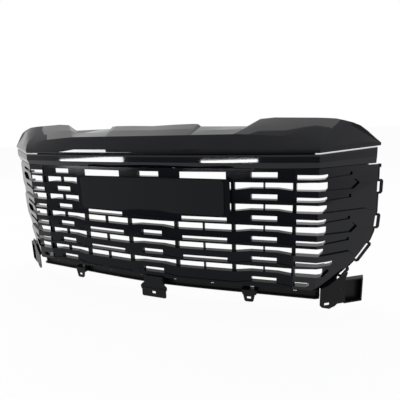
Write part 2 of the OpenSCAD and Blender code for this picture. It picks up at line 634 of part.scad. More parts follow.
module gusset(x) {
    y = front(x) + carrier_setback + wall;
    rotate([90, 0, 90]) linear_extrude(wall)
        polygon([[y - cut, band_z + wall], [y + cut, band_z + wall], [y + 0.8 * flange_len - wall, bolt_z - wall + cut],
            [y - cut, bolt_z - wall + cut]]);
}

/* ---- Badge ---- */
module badge_outline(half, low, high, r) {
    // The lower edge rises over the bulge of the third bar
    band_between(-half + r, half - r, low, bulge_rise, high, 0);
    box2(-half, half, low + r, high - r);
    for (s = [-1, 1], z = [low + r, high - r]) translate([s * (half - r), z]) circle(r, $fn = 48);
}
module flat_plate(y0, y1) { translate([0, y1, 0]) rotate([90, 0, 0]) linear_extrude(y1 - y0) children(); }
badge_face = -badge_proud;
bezel_face = badge_face + badge_t;
module badge_panel() {
    color(badge_black) placed() flat_plate(badge_face, bezel_face)
        badge_outline(badge_half, badge_bottom, badge_top, badge_r);
}
badge_screw_x = thin_x[0];
function badge_screw_places() = [for (s = [-1, 1], z = [-15, badge_bottom + 18]) [s * badge_screw_x, z]];
module badge_bezel() {
    color(gloss_black) placed() difference() {
        flat_plate(bezel_face, -seat) badge_outline(bezel_half, badge_cut, badge_top + 2, badge_r + 2);
        for (p = badge_screw_places()) translate([p[0], 0, p[1]]) rotate([90, 0, 0])
            cylinder(h = badge_proud, d = screw_hole_d, $fn = 32);
    }
}
// Open frame behind the bezel, as deep as the mesh, with ribs and four screw bosses
module badge_carrier() {
    xs = stations(-carrier_half, carrier_half);
    inner = carrier_half - wall;
    color(satin_black) placed() difference() {
        intersection() {
            translate([0, 0, badge_cut - row_pitch]) linear_extrude(2 * row_pitch + badge_h)
                polygon(concat([[-carrier_half, 0], [carrier_half, 0]],
                    [for (x = reversed(xs)) [x, bow(x) + bar_depth]]));
            union() {
                through() difference() {
                    band_between(-carrier_half, carrier_half, badge_cut, bulge_rise, -seat, 0);
                    band_between(-inner, inner, badge_cut + wall, bulge_rise, -seat - wall, 0);
                }
                for (x = [-thin_x[0], -rib_x[0], 0, rib_x[0], thin_x[0]]) through()
                    box2(x - wall / 2, x + wall / 2, badge_cut + wall, -seat - cut);
                for (p = badge_screw_places()) through() translate(p) circle(screw_d + wall, $fn = 48);
            }
        }
        for (p = badge_screw_places()) translate([p[0], -cut, p[1]]) rotate([-90, 0, 0])
            cylinder(h = far / 10, d = screw_hole_d, $fn = 32);
        for (p = badge_screw_places()) translate([p[0], bow(badge_screw_x) + bar_depth / 2, p[1]]) rotate([-90, 0, 0])
            cylinder(h = far / 10, r = screw_head_d / 2 + 4 * seat, $fn = 32);
    }
}
module badge_screws() {
    y = bow(badge_screw_x) + bar_depth / 2;
    color(zinc_grey) placed() for (p = badge_screw_places())
        translate([p[0], y, p[1]]) rotate([-90, 0, 0]) screw(y + badge_proud - badge_t);
}

/* ---- Lower rail and brackets ---- */
rail_top = mesh_bottom - seat;
rail_low = rail_top - rail_h;
rail_end = crease_x + 9;
tab_y0 = 1;
module rail_holes() {
    for (i = [-3.5:3.5]) translate([i * rail_hole_pitch - rail_hole_w / 2, rail_top - 14])
        square([rail_hole_w, 6]);
}
module inner_tab() {
    low = rail_top - rail_h / 2 - tab_drop;
    sheet(tab_x - 20, tab_x + 20, tab_y0, tab_y0 + wall, low, rail_top - rail_h / 2) difference() {
        polygon([[tab_x - 16.5, rail_top - rail_h / 2], [tab_x + 16.5, rail_top - rail_h / 2],
            [tab_x + 15, rail_top - rail_h / 2 - 8], [tab_x + 11, low + 3], [tab_x + 8, low],
            [tab_x - 8, low], [tab_x - 11, low + 3], [tab_x - 15, rail_top - rail_h / 2 - 8]]);
        box2(tab_x - tab_hole_w / 2, tab_x + tab_hole_w / 2, low + 7, low + 7 + tab_hole_h);
    }
    curtain(tab_x - 19, tab_x + 19, tab_y0, rail_setback + cut, rail_top - rail_h / 2 - wall,
        rail_top - rail_h / 2);
    for (x = [tab_x - 17, tab_x + 17 - wall])
        curtain(x, x + wall, tab_y0 + wall - cut, rail_setback + cut, rail_top - rail_h + wall / 2, rail_top - rail_h / 2);
}
module lower_rail() {
    color(satin_black) placed() {
        difference() {
            union() {
                curtain(-rail_end, rail_end, 2, rail_setback + wall, rail_top - wall, rail_top);
                curtain(-rail_end, rail_end, rail_setback, rail_setback + wall, rail_low, rail_top - cut);
                curtain(-rail_end, rail_end, rail_setback - 2 * wall, rail_setback + 4 * wall, rail_low, rail_low + wall);
            }
            through() rail_holes();
        }
        inner_tab();
        mirror([1, 0, 0]) inner_tab();
    }
}
foot_y = -2;
module centre_bracket() {
    low = mesh_bottom - bracket_drop;
    color(satin_black) placed() {
        flat_plate(foot_y - wall, foot_y) difference() {
            polygon([for (s = [-1, 1], p = s < 0
                ? [[bracket_neck, rail_top - seat], [bracket_neck, rail_top - 18], [bracket_foot + 3, rail_top - 28],
                    [bracket_foot + 3, rail_top - 35], [bracket_foot, rail_top - 40], [bracket_foot, low + 3],
                    [bracket_foot - 3, low]]
                : [[bracket_foot - 3, low], [bracket_foot, low + 3], [bracket_foot, rail_top - 40],
                    [bracket_foot + 3, rail_top - 35], [bracket_foot + 3, rail_top - 28],
                    [bracket_neck, rail_top - 18], [bracket_neck, rail_top - seat]]) [s * p[0], p[1]]]);
            box2(-tab_hole_w / 2, tab_hole_w / 2, low + 10, low + 10 + tab_hole_h);
        }
        // Foot lip, neck sides and the shelf that lies on the rail's web
        translate([-bracket_foot + 3, foot_y - 2 * wall, low + 22]) cube([2 * bracket_foot - 6, 2 * wall, wall]);
        for (s = [-1, 1]) translate([s * (bracket_neck - wall / 2) - wall / 2, foot_y - cut, rail_top - 26])
            cube([wall, rail_setback - foot_y - 2 * wall + cut - seat, 26 - wall - 2 * seat]);
        translate([-bracket_neck, foot_y - cut, rail_top - 20])
            cube([2 * bracket_neck, rail_setback - foot_y + cut - seat, wall]);
    }
}
bracket_d = -5;
corner_hole = [crease_x + 56.5, mesh_bottom - 4];
// Wall of the bracket that lies along the side frame, from the last clip to the end tab
function bracket_edge(d) = let (p = inset_path(edge_path(), -d)) [p[8], p[9], p[10]];
module corner_bracket(side) {
    tab_x0 = crease_x + 11;
    box_x0 = crease_x + 63;
    box_x1 = crease_x + 103;
    z0 = mesh_bottom - 41;
    z1 = mesh_bottom + 18;
    low = mesh_bottom - 49;
    top = mesh_bottom + 38;
    back = bracket_d + corner_box_d;
    color(satin_black) placed() mirrored(side) difference() {
        union() {
            // Plate from the last clip past the round hole to the end tab, with a wall along the frame
            sheet(tab_x0, box_x0 + 8, bracket_d, bracket_d + wall, low, top)
                polygon(concat(bracket_edge(2 * seat), [[tab_x0 - cut, mesh_bottom + 2],
                    [tab_x0, mesh_bottom - 36], [tab_x0 + 5, mesh_bottom - 43], [tab_x0 + 21, low],
                    [tab_x0 + 33, mesh_bottom - 44], [tab_x0 + 38, mesh_bottom - 39], [box_x0 + 1, mesh_bottom - 39],
                    [box_x0 + 1, z1], [box_x0 + 6, top - 3], [box_x0 + 3, top]]));
            sheet(tab_x0, box_x0, bracket_d, frame_d + 3 * wall, low, top)
                polygon(concat(bracket_edge(2 * seat), reversed(bracket_edge(2 * seat + wall))));
            // Box that opens to the front
            sheet(box_x0, box_x1, bracket_d, back, z0, z1) box2(box_x0, box_x1, z0, z1);
            along_wing(corner_hole) translate([0, 0, bracket_d * cos(wing_angle)])
                cylinder(h = corner_hole_len, d = corner_hole_d + 2 * wall, $fn = 48);
        }
        sheet(box_x0 + wall, box_x1 - wall, bracket_d - cut, back - wall, z0, z1)
            box2(box_x0 + wall, box_x1 - wall, z0 + wall, z1 - wall);
        along_wing(corner_hole) translate([0, 0, bracket_d * cos(wing_angle) - cut])
            cylinder(h = corner_hole_len + 2 * cut, d = corner_hole_d, $fn = 48);
        through() box2(tab_x0 + 15 - tab_hole_w / 2, tab_x0 + 15 + tab_hole_w / 2, mesh_bottom - 39,
            mesh_bottom - 39 + tab_hole_h);
    }
}

upper_moulding();
header_band();
upper_carrier();
wave_bar(1);  // wave_bar_1
wave_bar_2(-1);  // wave_bar_2_left
wave_bar_2(1);  // wave_bar_2_right
wave_bar(3);  // wave_bar_3
wave_bar(4);  // wave_bar_4
wave_bar(5);  // wave_bar_5
wave_bar(6);  // wave_bar_6
main_rib(-1, 2);  // main_rib_left_outer
main_rib(-1, 1);  // main_rib_left_middle
main_rib(-1, 0);  // main_rib_left_inner
main_rib(1, 0);  // main_rib_right_inner
main_rib(1, 1);  // main_rib_right_middle
main_rib(1, 2);  // main_rib_right_outer
thin_rib(-1, 1);  // thin_rib_left_outer
thin_rib(-1, 0);  // thin_rib_left_inner
thin_rib(1, 0);  // thin_rib_right_inner
thin_rib(1, 1);  // thin_rib_right_outer
wing_panel(-1);  // wing_panel_left
wing_panel(1);  // wing_panel_right
side_frame(-1);  // side_frame_left
side_frame(1);  // side_frame_right
lower_rail();
centre_bracket();
corner_bracket(-1);  // corner_bracket_left
corner_bracket(1);  // corner_bracket_right
badge_panel();
badge_bezel();
badge_carrier();
moulding_screws();
band_screws();
badge_screws();
wing_screws();
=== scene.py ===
import math

import bmesh
import bpy
import numpy as np
from mathutils import Matrix, Vector
from mathutils.bvhtree import BVHTree


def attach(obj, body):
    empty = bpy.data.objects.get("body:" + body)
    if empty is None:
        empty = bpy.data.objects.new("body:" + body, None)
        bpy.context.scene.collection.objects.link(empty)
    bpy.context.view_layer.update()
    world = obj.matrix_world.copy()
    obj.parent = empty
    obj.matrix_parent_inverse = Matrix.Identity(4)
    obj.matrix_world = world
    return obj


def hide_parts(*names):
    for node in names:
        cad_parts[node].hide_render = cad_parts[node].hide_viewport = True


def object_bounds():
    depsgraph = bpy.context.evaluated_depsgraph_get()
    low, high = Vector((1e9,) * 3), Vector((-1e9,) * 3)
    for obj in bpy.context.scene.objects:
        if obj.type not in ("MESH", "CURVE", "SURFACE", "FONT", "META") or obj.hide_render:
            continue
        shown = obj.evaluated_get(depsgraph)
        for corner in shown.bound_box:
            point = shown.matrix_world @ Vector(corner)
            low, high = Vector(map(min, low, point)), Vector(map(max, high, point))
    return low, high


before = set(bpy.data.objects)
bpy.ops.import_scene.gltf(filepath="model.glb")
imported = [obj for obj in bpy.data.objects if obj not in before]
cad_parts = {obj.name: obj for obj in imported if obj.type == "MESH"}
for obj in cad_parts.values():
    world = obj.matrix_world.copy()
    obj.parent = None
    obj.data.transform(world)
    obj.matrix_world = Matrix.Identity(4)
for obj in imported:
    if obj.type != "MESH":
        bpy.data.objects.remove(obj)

scene = bpy.context.scene
scene.view_settings.view_transform = "Standard"
cad_bounds = [[float(v) for v in corner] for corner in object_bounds()]

photo_w, photo_h = 400, 400
image_points = {
    "object_left_x": 16.2,
    "object_right_x": 384.0,
    "object_top_y": 116.9,
    "object_bottom_y": 308.8,
    "moulding_left_tip": (16.2, 146.5),
    "moulding_right_tip": (381.4, 142.4),
    "badge_top_left": (79.5, 176.9),
    "badge_top_right": (222.9, 179.6),
    "badge_bottom_left": (83.0, 206.5),
    "badge_bottom_right": (224.6, 214.6),
    "upper_wing_seam": (365.4, 183.0),
    "lower_wing_seam": (363.7, 228.2),
    "centre_foot_slot": (153.8, 292.5),
    "right_tab_slot": (249.0, 297.5),
    "left_tab_slot": (81.4, 273.4),
    "end_tab_slot": (326.5, 304.4),
    "corner_hole": (343.3, 288.0),
}

camera_turn = math.radians(21.2)
camera_tilt = math.radians(12.74)
camera_roll = math.radians(-2.08)
camera_place = Vector((0.43858, -0.83949, 0.04745))
camera_lens, camera_sensor = 32.786, 36.0

camera_data = bpy.data.cameras.new("camera")
camera_data.sensor_fit = "AUTO"
camera_data.sensor_width = camera_sensor
camera_data.lens = camera_lens
camera_data.clip_end = 50.0
camera = bpy.data.objects.new("camera", camera_data)
scene.collection.objects.link(camera)
scene.camera = camera
camera_back = Vector((math.sin(camera_turn) * math.cos(camera_tilt),
                      -math.cos(camera_turn) * math.cos(camera_tilt), math.sin(camera_tilt)))
level_right = Vector((math.cos(camera_turn), math.sin(camera_turn), 0.0))
level_up = camera_back.cross(level_right)
camera_right = math.cos(camera_roll) * level_right + math.sin(camera_roll) * level_up
camera_up = -math.sin(camera_roll) * level_right + math.cos(camera_roll) * level_up
camera.matrix_world = (Matrix.Translation(camera_place)
                       @ Matrix((camera_right, camera_up, camera_back)).transposed().to_4x4())


def seen_at(place):
    """Where a place of the object shows in the photograph's frame."""
    away = Vector(place) - camera_place
    long_side = max(photo_w, photo_h)
    scale = long_side * camera_data.lens / camera_data.sensor_width / away.dot(-camera_back)
    return (photo_w / 2 - camera_data.shift_x * long_side + away.dot(camera_right) * scale,
            photo_h / 2 + camera_data.shift_y * long_side - away.dot(camera_up) * scale)


def finished_mesh(piece):
    """The places and faces of a piece with its modifiers on."""
    shown = piece.evaluated_get(bpy.context.evaluated_depsgraph_get())
    mesh = shown.to_mesh()
    places = [piece.matrix_world @ v.co for v in mesh.vertices]
    faces = [tuple(f.vertices) for f in mesh.polygons]
    shown.to_mesh_clear()
    return places, faces


def place_on(point, piece):
    """The place and the normal on a finished piece that an image point looks at."""
    long_side = max(photo_w, photo_h)
    x = point[0] - photo_w / 2 + camera_data.shift_x * long_side
    y = photo_h / 2 - point[1] + camera_data.shift_y * long_side
    z = -long_side * camera_data.lens / camera_data.sensor_width
    ray = (x * camera_right + y * camera_up + z * camera_back).normalized()
    tree = BVHTree.FromPolygons(*finished_mesh(piece))
    place, normal, _, _ = tree.ray_cast(camera_place, ray)
    if place is None:
        places, _ = finished_mesh(piece)
        nearest = min(places, key=lambda p: (p - camera_place).cross(ray).length)
        place, normal, _, _ = tree.find_nearest(nearest)
    return place, normal


# Upper moulding.
# One injection-moulded cap in gloss-black plastic, about 3 mm thick, with a shallow scallop on
# each side and a crease where it turns back to the wings. Screws hold it from below.
# A solid's triangles are welded and its flat faces joined again before its edges are rounded
weld_distance = 0.000004
flat_within = math.radians(0.6)
flat_face_weight = 60


def out_of_the_tool(node, radius, segments=3, crease=28.0):
    """A finished copy of a solid, with the small edge radii that a steel tool leaves."""
    work = bmesh.new()
    work.from_mesh(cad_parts[node].data)
    bmesh.ops.remove_doubles(work, verts=work.verts, dist=weld_distance)
    bmesh.ops.dissolve_limit(work, angle_limit=flat_within, verts=work.verts, edges=work.edges,
                             use_dissolve_boundaries=False, delimit=set())
    mesh = bpy.data.meshes.new("finished_" + node)
    work.to_mesh(mesh)
    work.free()
    for face in mesh.polygons:
        face.use_smooth = True
    mesh.set_sharp_from_angle(angle=math.radians(crease))
    piece = bpy.data.objects.new("finished_" + node, mesh)
    scene.collection.objects.link(piece)
    edge = piece.modifiers.new("tool radius", "BEVEL")
    edge.width = radius
    edge.segments = segments
    edge.limit_method = "ANGLE"
    edge.angle_limit = math.radians(crease)
    edge.profile = 0.5
    edge.harden_normals = False
    edge.miter_outer = "MITER_ARC"
    level = piece.modifiers.new("flat faces", "WEIGHTED_NORMAL")
    level.keep_sharp = True
    level.weight = flat_face_weight
    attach(piece, "root")
    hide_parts(node)
    return piece


def effect_group(name, inputs, outputs):
    """An empty shader group with named sockets."""
    group = bpy.data.node_groups.new(name, "ShaderNodeTree")
    for label, kind, value in inputs:
        socket = group.interface.new_socket(name=label, in_out="INPUT", socket_type=kind)
        if value is not None:
            socket.default_value = value
    for label, kind in outputs:
        group.interface.new_socket(name=label, in_out="OUTPUT", socket_type=kind)
    return group, group.nodes.new("NodeGroupInput"), group.nodes.new("NodeGroupOutput")


# Slow swirls that moulded plastic shows in its gloss, and the very fine ripple of its skin
moulded_skin, skin_in, skin_out = effect_group(
    "moulded skin",
    [("Vector", "NodeSocketVector", None), ("Swirl Scale", "NodeSocketFloat", 9.0),
     ("Ripple Scale", "NodeSocketFloat", 240.0), ("Roughness", "NodeSocketFloat", 0.1),
     ("Roughness Spread", "NodeSocketFloat", 0.05)],
    [("Height", "NodeSocketFloat"), ("Roughness", "NodeSocketFloat")])
swirl = moulded_skin.nodes.new("ShaderNodeTexNoise")
swirl.inputs["Detail"].default_value = 3.0
swirl.inputs["Distortion"].default_value = 0.6
ripple = moulded_skin.nodes.new("ShaderNodeTexNoise")
ripple.inputs["Detail"].default_value = 2.0
spread = moulded_skin.nodes.new("ShaderNodeMath")
spread.operation = "MULTIPLY_ADD"
moulded_skin.links.new(skin_in.outputs["Vector"], swirl.inputs["Vector"])
moulded_skin.links.new(skin_in.outputs["Vector"], ripple.inputs["Vector"])
moulded_skin.links.new(skin_in.outputs["Swirl Scale"], swirl.inputs["Scale"])
moulded_skin.links.new(skin_in.outputs["Ripple Scale"], ripple.inputs["Scale"])
moulded_skin.links.new(swirl.outputs["Fac"], spread.inputs[0])
moulded_skin.links.new(skin_in.outputs["Roughness Spread"], spread.inputs[1])
moulded_skin.links.new(skin_in.outputs["Roughness"], spread.inputs[2])
moulded_skin.links.new(ripple.outputs["Fac"], skin_out.inputs["Height"])
moulded_skin.links.new(spread.outputs["Value"], skin_out.inputs["Roughness"])

# Fine dust that settles on faces that look up, thin and broken into specks
settled_dust, dust_in, dust_out = effect_group(
    "settled dust",
    [("Vector", "NodeSocketVector", None), ("Amount", "NodeSocketFloat", 0.1)],
    [("Mask", "NodeSocketFloat")])
geometry = settled_dust.nodes.new("ShaderNodeNewGeometry")
parts = settled_dust.nodes.new("ShaderNodeSeparateXYZ")
upward = settled_dust.nodes.new("ShaderNodeMapRange")
upward.inputs["From Min"].default_value = 0.35
upward.inputs["From Max"].default_value = 1.0
specks = settled_dust.nodes.new("ShaderNodeTexNoise")
specks.inputs["Scale"].default_value = 900.0
specks.inputs["Detail"].default_value = 4.0
drift = settled_dust.nodes.new("ShaderNodeTexNoise")
drift.inputs["Scale"].default_value = 14.0
broken = settled_dust.nodes.new("ShaderNodeMath")
broken.operation = "MULTIPLY"
lying = settled_dust.nodes.new("ShaderNodeMath")
lying.operation = "MULTIPLY"
amount = settled_dust.nodes.new("ShaderNodeMath")
amount.operation = "MULTIPLY"
settled_dust.links.new(geometry.outputs["Normal"], parts.inputs["Vector"])
settled_dust.links.new(parts.outputs["Z"], upward.inputs["Value"])
settled_dust.links.new(dust_in.outputs["Vector"], specks.inputs["Vector"])
settled_dust.links.new(dust_in.outputs["Vector"], drift.inputs["Vector"])
settled_dust.links.new(specks.outputs["Fac"], broken.inputs[0])
settled_dust.links.new(drift.outputs["Fac"], broken.inputs[1])
settled_dust.links.new(broken.outputs["Value"], lying.inputs[0])
settled_dust.links.new(upward.outputs["Result"], lying.inputs[1])
settled_dust.links.new(lying.outputs["Value"], amount.inputs[0])
settled_dust.links.new(dust_in.outputs["Amount"], amount.inputs[1])
settled_dust.links.new(amount.outputs["Value"], dust_out.inputs["Mask"])


def black_plastic(name, deep, pale, roughness, spread_of, ripple_scale, ripple_depth, dust, specular):
    """A black moulded plastic: its own colour, gloss, skin and dust."""
    material = bpy.data.materials.new(name)
    material.use_nodes = True
    tree = material.node_tree
    shader = tree.nodes["Principled BSDF"]
    shader.inputs["Specular IOR Level"].default_value = specular
    place = tree.nodes.new("ShaderNodeTexCoord")
    skin = tree.nodes.new("ShaderNodeGroup")
    skin.node_tree = moulded_skin
    skin.inputs["Ripple Scale"].default_value = ripple_scale
    skin.inputs["Roughness"].default_value = roughness
    skin.inputs["Roughness Spread"].default_value = spread_of
    settled = tree.nodes.new("ShaderNodeGroup")
    settled.node_tree = settled_dust
    settled.inputs["Amount"].default_value = dust
    colour = tree.nodes.new("ShaderNodeMix")
    colour.data_type = "RGBA"
    colour.inputs["A"].default_value = (*deep, 1.0)
    colour.inputs["B"].default_value = (*pale, 1.0)
    bump = tree.nodes.new("ShaderNodeBump")
    bump.inputs["Distance"].default_value = ripple_depth
    bump.inputs["Strength"].default_value = 1.0
    tree.links.new(place.outputs["Object"], skin.inputs["Vector"])
    tree.links.new(place.outputs["Object"], settled.inputs["Vector"])
    tree.links.new(settled.outputs["Mask"], colour.inputs["Factor"])
    tree.links.new(colour.outputs["Result"], shader.inputs["Base Color"])
    tree.links.new(skin.outputs["Roughness"], shader.inputs["Roughness"])
    tree.links.new(skin.outputs["Height"], bump.inputs["Height"])
    tree.links.new(bump.outputs["Normal"], shader.inputs["Normal"])
    return material


gloss_black = black_plastic(
    "gloss black plastic", deep=(0.0024, 0.0027, 0.0050), pale=(0.13, 0.13, 0.14), roughness=0.03,
    spread_of=0.03, ripple_scale=120.0, ripple_depth=0.0000012, dust=0.08, specular=0.30)
moulding = out_of_the_tool("upper_moulding", radius=0.0012, segments=4, crease=22.0)
moulding.data.materials.append(gloss_black)

# Header band.
# The second horizontal piece under the moulding: a C-shaped gloss-black strip that covers the top
# of the mesh, parted from the moulding by a 3 mm shadow gap. Screwed to the carrier behind.
header_band = out_of_the_tool("header_band", radius=0.0010, segments=3, crease=22.0)
header_band.data.materials.append(gloss_black)

# Upper carrier.
# The satin-black angle behind the band, with gussets and the flange that bolts to the vehicle.
satin_black = black_plastic(
    "satin black plastic", deep=(0.0046, 0.0048, 0.0058), pale=(0.10, 0.10, 0.11), roughness=0.32,
    spread_of=0.10, ripple_scale=1400.0, ripple_depth=0.00003, dust=0.05, specular=0.13)
upper_carrier = out_of_the_tool("upper_carrier", radius=0.0006, segments=2)
upper_carrier.data.materials.append(satin_black)

# Wave bars.
# Six rows of gloss-black twin fins that swell upward in the middle and on both sides, each with
# slots between its two fins and sunk webs between the slots. The second stops at the badge.
mesh_black = black_plastic(
    "gloss black mesh", deep=(0.0052, 0.0056, 0.0080), pale=(0.10, 0.10, 0.11), roughness=0.10,
    spread_of=0.06, ripple_scale=160.0, ripple_depth=0.000002, dust=0.04, specular=0.09)
for bar in ("wave_bar_1", "wave_bar_2_left", "wave_bar_2_right", "wave_bar_3", "wave_bar_4",
            "wave_bar_5", "wave_bar_6"):
    piece = out_of_the_tool(bar, radius=0.0016, segments=3, crease=24.0)
    piece.data.materials.append(mesh_black)

# Ribs.
# Upright members behind the bars: six broad ones and four thin ones, in the same satin moulding.
for rib in ("main_rib_left_outer", "main_rib_left_middle", "main_rib_left_inner",
            "main_rib_right_inner", "main_rib_right_middle", "main_rib_right_outer",
            "thin_rib_left_outer", "thin_rib_left_inner", "thin_rib_right_inner",
            "thin_rib_right_outer"):
    piece = out_of_the_tool(rib, radius=0.0006, segments=2)
    piece.data.materials.append(satin_black)

# Wing panels.
# The mesh ends turn back through a crease into two gloss panels with raised pads, blind grooves
# and arrow-ended hollows, swept round at the bottom. Screwed to the side frames.
wings = {}
for side in ("left", "right"):
    wings[side] = out_of_the_tool("wing_panel_" + side, radius=0.0018, segments=3, crease=24.0)
    wings[side].data.materials.append(gloss_black)

# Wing seams.
# A hairline witness ridge runs out from each arrow's tip, where two slides of the mould met. Same
# gloss plastic as the wing it stands on, 0.5 mm proud.
seam_half, seam_width, seam_height, seam_steps = 0.019, 0.0011, 0.0005, 12
seam_sunk, seam_reach = 0.0004, 0.02


def wing_seam(point_name):
    """A thin three-sided ridge along both wings at the height of an image point."""
    middle, outward = place_on(image_points[point_name], wings["right"])
    along = outward.cross(Vector((0.0, 0.0, 1.0))).normalized()
    skin = BVHTree.FromPolygons(*finished_mesh(wings["right"]))
    work = bmesh.new()
    rings = []
    for step in range(seam_steps + 1):
        start = middle + along * seam_half * (2 * step / seam_steps - 1) + outward * seam_reach
        hit, facing, _, _ = skin.ray_cast(start, -outward)
        if hit is None:
            continue
        up = facing.cross(along).normalized()
        rings.append([work.verts.new(hit + up * seam_width / 2 - facing * seam_sunk),
                      work.verts.new(hit + facing * seam_height),
                      work.verts.new(hit - up * seam_width / 2 - facing * seam_sunk)])
    for one, two in zip(rings, rings[1:]):
        for corner in range(3):
            after = (corner + 1) % 3
            work.faces.new((one[corner], one[after], two[after], two[corner]))
    work.faces.new(rings[0])
    work.faces.new(list(reversed(rings[-1])))
    turned = bmesh.ops.duplicate(work, geom=work.verts[:] + work.edges[:] + work.faces[:])["geom"]
    for vert in (v for v in turned if isinstance(v, bmesh.types.BMVert)):
        vert.co.x = -vert.co.x
    bmesh.ops.recalc_face_normals(work, faces=work.faces)
    mesh = bpy.data.meshes.new(point_name)
    work.to_mesh(mesh)
    work.free()
    seam = bpy.data.objects.new(point_name, mesh)
    scene.collection.objects.link(seam)
    mesh.materials.append(gloss_black)
    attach(seam, "root")
    return seam


seams = {name: wing_seam(name) for name in ("upper_wing_seam", "lower_wing_seam")}

# Side frames.
# Satin strips round the outer edge of each wing, with four slotted straps that clip to the
# neighbouring panels.
for side in ("left", "right"):
    piece = out_of_the_tool("side_frame_" + side, radius=0.0006, segments=2)
    piece.data.materials.append(satin_black)

# Lower rail.
# A satin channel under the last bar, with eight small oblong holes and two slotted tabs.
lower_rail = out_of_the_tool("lower_rail", radius=0.0007, segments=2)
lower_rail.data.materials.append(satin_black)

# Middle and corner brackets.
# Satin brackets that take the bumper's screws: one foot in the middle, and a box with a round
# hole and an end tab at each corner.
for bracket in ("centre_bracket", "corner_bracket_left", "corner_bracket_right"):
    piece = out_of_the_tool(bracket, radius=0.0008, segments=2)
    piece.data.materials.append(satin_black)

# Badge panel, bezel and box.
# A blank matt panel for the vehicle's badge, on a gloss bezel, with an open box behind it.
badge_black = black_plastic(
    "matt badge panel", deep=(0.0078, 0.0084, 0.0094), pale=(0.05, 0.05, 0.052), roughness=0.62,
    spread_of=0.10, ripple_scale=2600.0, ripple_depth=0.00002, dust=0.05, specular=0.12)
badge_panel = out_of_the_tool("badge_panel", radius=0.0012, segments=3)
badge_panel.data.materials.append(badge_black)
badge_bezel = out_of_the_tool("badge_bezel", radius=0.0014, segments=3)
badge_bezel.data.materials.append(gloss_black)
badge_box = out_of_the_tool("badge_carrier", radius=0.0006, segments=2)
badge_box.data.materials.append(satin_black)

# Assembly screws.
# Zinc-plated pan-head screws behind the face; they show only from the rear.
zinc = bpy.data.materials.new("zinc plating")
zinc.use_nodes = True
zinc_tree = zinc.node_tree
zinc_shader = zinc_tree.nodes["Principled BSDF"]
zinc_shader.inputs["Metallic"].default_value = 1.0
zinc_place = zinc_tree.nodes.new("ShaderNodeTexCoord")
zinc_mottle = zinc_tree.nodes.new("ShaderNodeTexNoise")
zinc_mottle.inputs["Scale"].default_value = 700.0
zinc_mottle.inputs["Detail"].default_value = 5.0
zinc_colour = zinc_tree.nodes.new("ShaderNodeMix")
zinc_colour.data_type = "RGBA"
zinc_colour.inputs["A"].default_value = (0.30, 0.30, 0.31, 1.0)
zinc_colour.inputs["B"].default_value = (0.52, 0.52, 0.50, 1.0)
zinc_rough = zinc_tree.nodes.new("ShaderNodeMapRange")
zinc_rough.inputs["To Min"].default_value = 0.28
zinc_rough.inputs["To Max"].default_value = 0.5
zinc_tree.links.new(zinc_place.outputs["Object"], zinc_mottle.inputs["Vector"])
zinc_tree.links.new(zinc_mottle.outputs["Fac"], zinc_colour.inputs["Factor"])
zinc_tree.links.new(zinc_mottle.outputs["Fac"], zinc_rough.inputs["Value"])
zinc_tree.links.new(zinc_colour.outputs["Result"], zinc_shader.inputs["Base Color"])
zinc_tree.links.new(zinc_rough.outputs["Result"], zinc_shader.inputs["Roughness"])
for screws in ("moulding_screws", "band_screws", "badge_screws", "wing_screws"):
    piece = out_of_the_tool(screws, radius=0.0004, segments=2)
    piece.data.materials.append(zinc)

# Floor, lights and background.
# A pale floor at the foot of the grille and a white backdrop, a broad softbox overhead, and long
# thin lamps in front that draw the white bars on the lip and the band. The room in front is dark.
low_z = cad_bounds[0][2]


def seen_or_mirrored(tree):
    """1 for what the camera sees, straight, in a reflection or through something clear."""
    path = tree.nodes.new("ShaderNodeLightPath")
    mirrored = tree.nodes.new("ShaderNodeMath")
    mirrored.operation = "MAXIMUM"
    shown = tree.nodes.new("ShaderNodeMath")
    shown.operation = "MAXIMUM"
    tree.links.new(path.outputs["Is Glossy Ray"], mirrored.inputs[0])
    tree.links.new(path.outputs["Is Transmission Ray"], mirrored.inputs[1])
    tree.links.new(path.outputs["Is Camera Ray"], shown.inputs[0])
    tree.links.new(mirrored.outputs["Value"], shown.inputs[1])
    return shown.outputs["Value"]


floor_mesh = bpy.data.meshes.new("floor")
floor_work = bmesh.new()
floor_half, floor_front, floor_gap = 6.0, -0.46, 0.0005
floor_middle = (0.0, floor_front + floor_half, low_z - floor_gap)
bmesh.ops.create_grid(floor_work, x_segments=1, y_segments=1, size=floor_half)
bmesh.ops.translate(floor_work, verts=floor_work.verts, vec=floor_middle)
floor_work.to_mesh(floor_mesh)
floor_work.free()
floor = bpy.data.objects.new("floor", floor_mesh)
scene.collection.objects.link(floor)
floor_paint = bpy.data.materials.new("pale floor")
floor_paint.use_nodes = True
floor_tree = floor_paint.node_tree
floor_shader = floor_tree.nodes["Principled BSDF"]
floor_shader.inputs["Base Color"].default_value = (0.8, 0.8, 0.8, 1.0)
floor_shader.inputs["Roughness"].default_value = 0.9
floor_shader.inputs["Specular IOR Level"].default_value = 0.1
floor_white = floor_tree.nodes.new("ShaderNodeEmission")
floor_share = floor_tree.nodes.new("ShaderNodeMath")
floor_share.operation = "MULTIPLY"
floor_share.inputs[1].default_value = 0.94
floor_mix = floor_tree.nodes.new("ShaderNodeMixShader")
floor_tree.links.new(seen_or_mirrored(floor_tree), floor_share.inputs[0])
floor_tree.links.new(floor_share.outputs["Value"], floor_mix.inputs[0])
floor_tree.links.new(floor_shader.outputs["BSDF"], floor_mix.inputs[1])
floor_tree.links.new(floor_white.outputs["Emission"], floor_mix.inputs[2])
floor_tree.links.new(floor_mix.outputs["Shader"], floor_tree.nodes["Material Output"].inputs["Surface"])
floor_mesh.materials.append(floor_paint)

